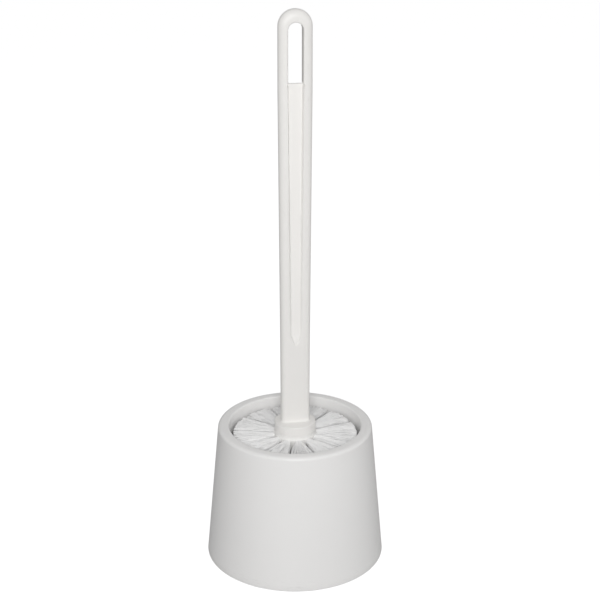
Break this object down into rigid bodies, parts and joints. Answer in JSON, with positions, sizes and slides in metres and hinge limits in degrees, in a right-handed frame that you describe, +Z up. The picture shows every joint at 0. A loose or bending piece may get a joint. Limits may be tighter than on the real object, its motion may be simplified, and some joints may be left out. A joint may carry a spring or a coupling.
{
  "type": "toilet brush holder",
  "caption": "Free-standing round toilet brush pot, wider at its foot, with a lift-out brush: flat handle with a hanging slot, and a head of fanned bristle tufts.",
  "frame": {"origin": "centre of the circle that the holder stands on", "axes": "+Z up along the holder's axis and the handle, -Y towards the front"},
  "size_m": [0.1292, 0.1292, 0.4],
  "materials": {
    "holder_plastic": "white polypropylene, soft gloss",
    "handle_plastic": "warm white polypropylene, soft gloss",
    "head_plastic": "white polypropylene, satin",
    "bristle": "white crimped polypropylene filament"
  },
  "bodies": {
    "holder": {"holder": "holder_plastic"},
    "brush": {"handle": "handle_plastic", "brush_head": "head_plastic", "tuft_end_1": "bristle", "tuft_end_2": "bristle", "tuft_end_3": "bristle", "tuft_end_4": "bristle", "tuft_end_5": "bristle", "tuft_end_6": "bristle", "tuft_end_7": "bristle", "tuft_row1_01": "bristle", "tuft_row1_02": "bristle", "tuft_row1_03": "bristle", "tuft_row1_04": "bristle", "tuft_row1_05": "bristle", "tuft_row1_06": "bristle", "tuft_row1_07": "bristle", "tuft_row1_08": "bristle", "tuft_row1_09": "bristle", "tuft_row1_10": "bristle", "tuft_row1_11": "bristle", "tuft_row1_12": "bristle", "tuft_row2_01": "bristle", "tuft_row2_02": "bristle", "tuft_row2_03": "bristle", "tuft_row2_04": "bristle", "tuft_row2_05": "bristle", "tuft_row2_06": "bristle", "tuft_row2_07": "bristle", "tuft_row2_08": "bristle", "tuft_row2_09": "bristle", "tuft_row2_10": "bristle", "tuft_row2_11": "bristle", "tuft_row2_12": "bristle", "tuft_row3_01": "bristle", "tuft_row3_02": "bristle", "tuft_row3_03": "bristle", "tuft_row3_04": "bristle", "tuft_row3_05": "bristle", "tuft_row3_06": "bristle", "tuft_row3_07": "bristle", "tuft_row3_08": "bristle", "tuft_row3_09": "bristle", "tuft_row3_10": "bristle", "tuft_row3_11": "bristle", "tuft_row3_12": "bristle", "tuft_row4_01": "bristle", "tuft_row4_02": "bristle", "tuft_row4_03": "bristle", "tuft_row4_04": "bristle", "tuft_row4_05": "bristle", "tuft_row4_06": "bristle", "tuft_row4_07": "bristle", "tuft_row4_08": "bristle", "tuft_row4_09": "bristle", "tuft_row4_10": "bristle", "tuft_row4_11": "bristle", "tuft_row4_12": "bristle"}
  },
  "joints": [
    {"name": "brush_lift", "type": "slide", "parent": "holder", "child": "brush", "axis": [0, 0, 1], "range_m": [0, 0.12]}
  ]
}
